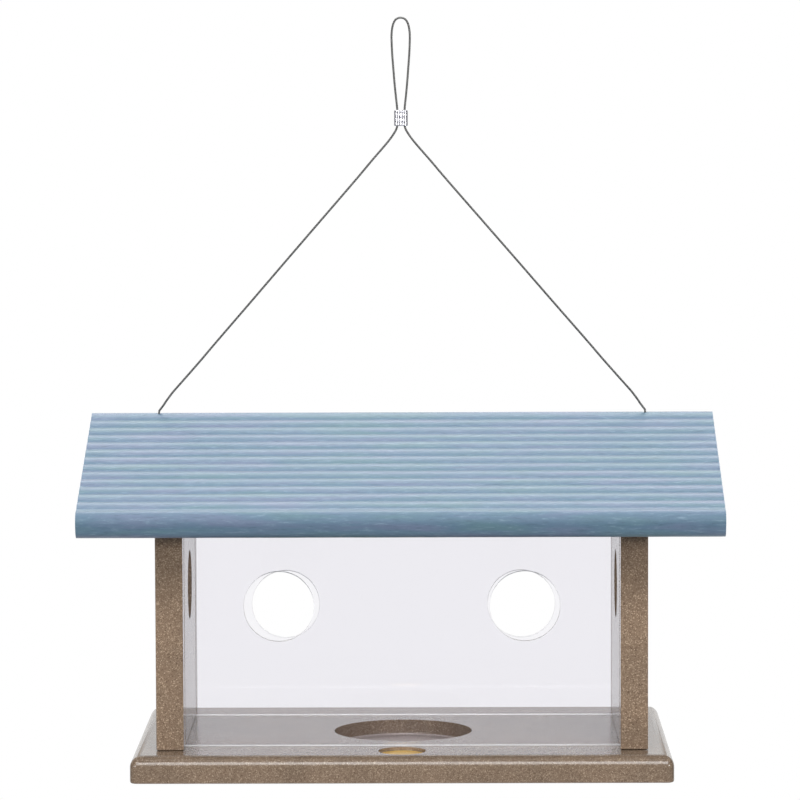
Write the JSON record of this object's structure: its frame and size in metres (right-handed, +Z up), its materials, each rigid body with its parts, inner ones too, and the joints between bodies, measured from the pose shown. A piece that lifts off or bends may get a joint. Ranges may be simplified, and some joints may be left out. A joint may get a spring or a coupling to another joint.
{
  "type": "hanging bird feeder",
  "caption": "Gable-roof hanging feeder for wild birds with clear panes, round ways in, a food well in its floor and a roof that slides up its cable.",
  "frame": {"origin": "centre of the base's underside", "axes": "+X along the ridge, to the right seen from the front; the front with the badge faces -Y; +Z up"},
  "size_m": [0.343, 0.2412, 0.41],
  "materials": {
    "lumber": "speckled taupe plastic lumber, fine embossed grain",
    "blue_lumber": "streaky pale blue plastic lumber, ribbed",
    "clear_pane": "clear acrylic with polished edges",
    "badge": "plain gold-coloured disc, satin",
    "screws": "stainless steel",
    "cable": "stranded stainless steel cable",
    "sleeves": "bright crimped aluminium"
  },
  "bodies": {
    "house": {"base_board": "lumber", "left_end_board": "lumber", "right_end_board": "lumber", "front_pane": "clear_pane", "back_pane": "clear_pane", "badge_disc": "badge", "base_screw_1": "screws", "base_screw_2": "screws", "base_screw_3": "screws", "base_screw_4": "screws", "cable_anchor_left": "cable", "cable_anchor_right": "cable", "cable_stop_left": "sleeves", "cable_stop_right": "sleeves"},
    "roof": {"front_roof_board": "blue_lumber", "back_roof_board": "blue_lumber", "ridge_screw_1": "screws", "ridge_screw_2": "screws", "ridge_screw_3": "screws"},
    "hanger": {"cable_leg_left": "cable", "cable_leg_right": "cable"},
    "loop": {"ferrule": "sleeves", "cable_loop": "cable"}
  },
  "joints": [
    {"name": "roof_lift", "type": "slide", "parent": "house", "child": "roof", "axis": [0, 0, 1], "range_m": [0, 0.06], "deforming": ["cable_leg_left", "cable_leg_right"]},
    {"name": "hanger_swing", "type": "hinge", "parent": "roof", "child": "hanger", "pos_m": [0, 0, 0.1932], "axis": [1, 0, 0], "range_deg": [-105, 105]},
    {"name": "loop_drop", "type": "slide", "parent": "hanger", "child": "loop", "axis": [0, 0, 1], "range_m": [-0.0966, 0]}
  ],
  "couplings": [
    {"joint": "loop_drop", "follows": "roof_lift", "ratio": -1.61}
  ]
}
